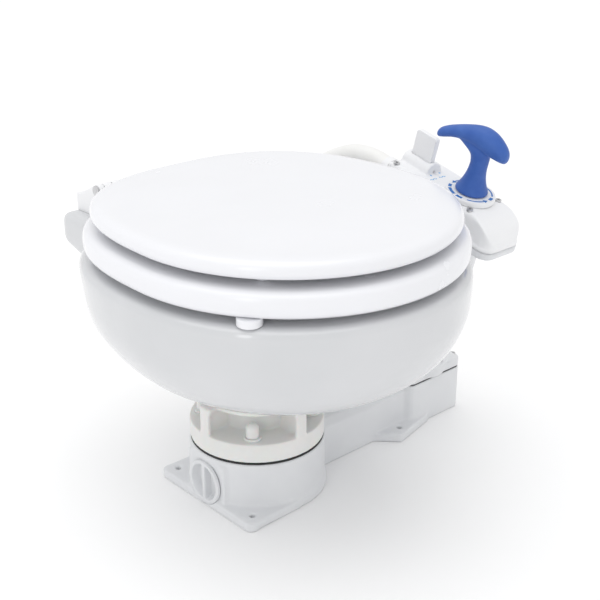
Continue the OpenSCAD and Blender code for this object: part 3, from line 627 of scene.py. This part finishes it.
# ---- T handle ----
handle = {"yaw": 15.0, "base": 256.5, "foot": 19, "footRim": 18.2, "footHeight": 3, "neck": 10.3,
          "flare": 8.7, "flareHeight": 32, "flarePower": 2.2, "flareSteps": 12, "bore": 6.1,
          "boreTop": 300, "sides": 44, "voxel": 0.0008, "rounds": 20,
          "bar": [(-31, 309, 2.5, 2.5), (-29, 310, 7, 6.5), (-23, 313, 10.5, 10), (-12, 317.5, 13.5, 12.5),
                  (0, 320.5, 14, 13), (12, 321.5, 12, 12), (26, 320, 9, 10.5), (38, 316.5, 7.5, 9.5),
                  (48, 312, 7, 8.5), (55, 308.5, 5.5, 6.5), (57.5, 307.5, 1.8, 2.5)],
          "crown": [(300, 1.2, 11.4, 10.4), (305, 4, 14.3, 10.6), (309, 7.5, 18.2, 10.2),
                    (313, 11, 23, 8.5)]}


def makeHandle():
    sides = handle["sides"]
    turns = [2 * math.pi * i / sides for i in range(sides)]
    bar = [[Vector((wide * math.cos(t), along, rise + tall * math.sin(t))) * mm for t in turns]
           for along, rise, tall, wide in between(handle["bar"], 5)]
    base, rim, foot = handle["base"], handle["footRim"], handle["foot"]
    stem = [(base, 0, rim, rim), (base + 0.8, 0, foot, foot), (base + handle["footHeight"], 0, foot, foot)]
    steps = handle["flareSteps"]
    for i in range(1, steps + 1):
        radius = handle["neck"] + handle["flare"] * (1 - i / steps) ** handle["flarePower"]
        rise = base + handle["footHeight"] + handle["flareHeight"] * i / steps
        stem.append((rise, 0, radius, radius))
    stem += handle["crown"]
    rows = [[Vector((wide * math.cos(t), shift + long * math.sin(t), rise)) * mm for t in turns]
            for rise, shift, long, wide in between(stem, 3)]
    piece = skin("t_handle", bar)
    join(piece, skin("stem", rows))
    bore = turned("bore", [(handle["bore"], base - 1), (handle["bore"], handle["boreTop"])])
    easeEdges(piece, handle["voxel"], handle["rounds"])
    bake(piece)
    carve(piece, bore)
    piece.data.transform(pumpFrame @ Matrix.Rotation(math.radians(handle["yaw"]), 4, "Z"))
    piece.data.shade_smooth()
    settle(piece, "handle_set", "blue_grip", finishes["blue_grip"], "handle")


makeHandle()
print("handle made")


# ---- flush hose ----
hose = {"outer": 13.0, "bore": 10.0, "sides": 40, "steps": 9, "ribPitch": 7.0, "rib": 0.12,
        "side": (0.7, 0.7, 0)}
hoseRoute = [(256, 39.6, 304.2), (256, 53.1, 307.8), (256, 67.6, 311.7), (255, 86, 314.6), (252, 104, 314),
             (247, 121, 309), (240, 136, 301), (231, 150, 290), (218, 162, 277), (202, 173, 264.5),
             (183, 183, 252.5), (162, 190, 241.5), (140, 195, 232.5), (117, 198.5, 226.5), (95, 200, 223),
             (70, 200, 222), (45, 200, 222), (14, 200, 222)]


def makeHose():
    line = [Vector(point) * mm for point in between(hoseRoute, hose["steps"])]
    sides = hose["sides"]
    outer, inner = [], []
    run = 0.0
    for i, point in enumerate(line):
        along = (line[min(i + 1, len(line) - 1)] - line[max(i - 1, 0)]).normalized()
        across = Vector(hose["side"]).cross(along).normalized()
        over = along.cross(across)
        run += (point - line[max(i - 1, 0)]).length
        ring = [across * math.cos(2 * math.pi * j / sides) + over * math.sin(2 * math.pi * j / sides)
                for j in range(sides)]
        turn = run / (hose["ribPitch"] * mm)
        rib = [hose["rib"] * (math.sin(2 * math.pi * (turn + j / sides)) - 1) / 2 for j in range(sides)]
        outer.append([point + spoke * (hose["outer"] + swell) * mm for spoke, swell in zip(ring, rib)])
        inner.append([point + spoke * hose["bore"] * mm for spoke in ring])
    piece = skin("flush_hose_tube", outer + inner[::-1], closed=True)
    settle(piece, "base", "hose_cream", finishes["hose_cream"], "flush_hose")


makeHose()
print("hose made")


# ---- ring under the bowl: its windows stay open up to the china ----
ring = {"inner": 61.0, "outer": 80.0, "low": 111.2, "high": 119.5, "post": 7.0, "steps": 16,
        "voxel": 0.0013, "rounds": 6}


def makeRing():
    node = nodes["bowl_support_ring"]
    piece = bpy.data.objects.new("open_ring", node.data.copy())
    piece.matrix_world = node.matrix_world
    scene.collection.objects.link(piece)
    cutters = []
    for quarter in range(4):
        first = 90 * quarter + ring["post"]
        span = 90 - 2 * ring["post"]
        turns = [math.radians(first + span * i / ring["steps"]) for i in range(ring["steps"] + 1)]
        flat = [(ring["outer"] * math.cos(t), ring["outer"] * math.sin(t)) for t in turns]
        flat += [(ring["inner"] * math.cos(t), ring["inner"] * math.sin(t)) for t in reversed(turns)]
        rows = [[Vector((x, y, height)) * mm for x, y in flat] for height in (ring["low"], ring["high"])]
        cutters.append(prism(f"window_{quarter + 1}", rows))
    carve(piece, *cutters)
    easeEdges(piece, ring["voxel"], ring["rounds"])
    bake(piece)
    settle(piece, "base", "cream_moulding", finishes["cream_moulding"], "bowl_support_ring")


makeRing()
print("ring made")


# ---- moulded nodes keep the frame's own shape, with their edges eased ----
easing = {"base_housing": (0.0017, 7), "pump_head": (0.0011, 7),
          "pump_foot": (0.0013, 7), "pump_cylinder": (0.0014, 6), "seal_housing": (0.0008, 6),
          "flush_lever": (0.0006, 7), "hinge_posts": (0.0010, 7), "base_plug": (0.0009, 6),
          "discharge_tail": (0.0010, 5), "inlet_elbow": (0.0009, 6), "intake_tail": (0.0008, 4),
          "head_outlet_tail": (0.0008, 4), "seat_hinge_arms": (0.0007, 6), "lid_hinge_arms": (0.0007, 6),
          "dome_nuts": (0.0005, 5), "ring_washers": (0.0005, 4), "seat_buffers": (0.0008, 6),
          "lid_buffers": (0.0006, 6), "outlet_spud": (0.0010, 4), "hinge_nuts": (0.0007, 5),
          "spud_nut": (0.0009, 4)}
for name, (voxel, rounds) in easing.items():
    easeEdges(nodes[name], voxel, rounds)
print("mouldings eased")


# ---- printed marks on the collar and on the deck ----
marks = {"inner": 22.6, "outer": 26.2, "face": 256.02, "thick": 0.12, "deck": 250.02,
         "head": 13, "barb": 1.3, "slim": 0.9, "dashInner": 0.2, "dashOuter": 0.4,
         "arrows": [(210, 272), (305, 375), (50, 105)],
         "dashes": [(280, 296), (25, 41), (115, 131), (137, 170), (178, 196)]}


def onPump(u, v, w):
    return pumpFrame @ (Vector((u, v, w)) * mm)


# flat printed shape: outline points in the pump's own plane, with a little thickness
def printShape(name, outline, height, finish):
    rows = [[onPump(u, v, rise) for u, v in outline] for rise in (height, height + marks["thick"])]
    settle(prism(name, rows), "base", "blue_grip", finish)


def spoke(radius, degrees):
    return radius * math.cos(math.radians(degrees)), radius * math.sin(math.radians(degrees))


def arcArrow(first, last, inner, outer):
    middle = (inner + outer) / 2
    head = math.copysign(marks["head"], last - first)
    neck = last - head
    steps = 14
    turns = [first + (neck - first) * i / steps for i in range(steps + 1)]
    slim, barb = marks["slim"], marks["barb"]
    outline = [spoke(outer - slim, t) for t in turns]
    outline += [spoke(outer + barb, neck), spoke(middle, last), spoke(inner - barb, neck)]
    outline += [spoke(inner + slim, t) for t in reversed(turns)]
    return outline


def arcBar(first, last, inner, outer):
    steps = 8
    turns = [first + (last - first) * i / steps for i in range(steps + 1)]
    return [spoke(outer, t) for t in turns] + [spoke(inner, t) for t in reversed(turns)]


icons = {"waves": [(-12, 46), (3, 46)], "width": 10.0, "swing": 0.8, "stroke": 1.1,
         "drops": [(-8, 54), (-12, 56.5), (7, 54), (7, 58.5)], "drop": 1.2, "tip": 2.4, "dropSides": 16}


def waveStrip(u, v):
    steps = 16
    upper, lower = [], []
    for i in range(steps + 1):
        across = u + icons["width"] * (i / steps - 0.5)
        rise = v + icons["swing"] * math.sin(4 * math.pi * i / steps)
        upper.append((across, rise + icons["stroke"] / 2))
        lower.append((across, rise - icons["stroke"] / 2))
    return lower + upper[::-1]


def dropOutline(u, v):
    radius, tip, sides = icons["drop"], icons["tip"], icons["dropSides"]
    return [(u + radius * math.cos(t), v + (radius if t > math.pi else tip) * math.sin(t))
            for t in (2 * math.pi * i / sides for i in range(sides))]


def printMarks():
    for i, (first, last) in enumerate(marks["arrows"]):
        printShape(f"collar_arrow_{i + 1}", arcArrow(first, last, marks["inner"], marks["outer"]),
                   marks["face"], arrowInk)
    for i, (first, last) in enumerate(marks["dashes"]):
        dash = arcBar(first, last, marks["inner"] + marks["dashInner"], marks["outer"] + marks["dashOuter"])
        printShape(f"collar_dash_{i + 1}", dash, marks["face"], arrowInk)
    for i, (u, v) in enumerate(icons["waves"]):
        printShape(f"deck_wave_{i + 1}", waveStrip(u, v), marks["deck"], iconInk)
    for i, (u, v) in enumerate(icons["drops"]):
        printShape(f"deck_drop_{i + 1}", dropOutline(u, v), marks["deck"], iconInk)


printMarks()
print("marks printed")


# ---- studio ----
studio = {"floor": (0.97, 0.97, 0.972), "floorDrift": 0.012, "driftSize": 0.8, "floorRough": 0.75,
          "sunk": 0.0002, "reach": 30.0, "room": (1.0, 1.0, 1.0), "roomLight": 0.84,
          "sky": (-0.22, 0.05, 1.6), "skyLight": 0.88, "skyAngle": 60,
          "strip": (-1.9, -0.9, 0.9), "stripAim": (0.0, 0.0, 0.22), "stripSize": (0.35, 1.1),
          "stripPower": 3.2}


def softLight(name, place, aim, size, power):
    data = bpy.data.lights.new(name, "AREA")
    data.shape = "RECTANGLE"
    data.size, data.size_y = size
    data.energy = power
    lamp = bpy.data.objects.new(name, data)
    scene.collection.objects.link(lamp)
    lamp.location = place
    lamp.rotation_mode = "QUATERNION"
    lamp.rotation_quaternion = (Vector(aim) - Vector(place)).to_track_quat("-Z", "Y")


def buildStudio():
    reach = studio["reach"]
    corners = [(-reach, -reach, 0), (reach, -reach, 0), (reach, reach, 0), (-reach, reach, 0)]
    floor = makePiece("studio_floor", corners, [(0, 1, 2, 3)], smooth=False)
    floor.location.z = -studio["sunk"]
    finish, start = newFinish("paleFloor")
    tone = clouds(start, studio["driftSize"], 2.0)
    shade = [value - studio["floorDrift"] for value in studio["floor"]]
    closeFinish(start, {"Base Color": tone.blend(colour(studio["floor"]), colour(shade)),
                        "Roughness": studio["floorRough"]})
    dress(floor, finish)
    world = bpy.data.worlds.new("studioRoom")
    world.use_nodes = True
    backdrop = world.node_tree.nodes["Background"]
    backdrop.inputs["Color"].default_value = colour(studio["room"])
    backdrop.inputs["Strength"].default_value = studio["roomLight"]
    scene.world = world
    sky = bpy.data.lights.new("skylight", "SUN")
    sky.energy = studio["skyLight"]
    sky.angle = math.radians(studio["skyAngle"])
    lamp = bpy.data.objects.new("skylight", sky)
    scene.collection.objects.link(lamp)
    lamp.rotation_mode = "QUATERNION"
    lamp.rotation_quaternion = Vector(studio["sky"]).to_track_quat("Z", "Y")
    softLight("leftStrip", studio["strip"], studio["stripAim"], studio["stripSize"], studio["stripPower"])
    scene.view_settings.view_transform = "Standard"


buildStudio()
print("studio lit")
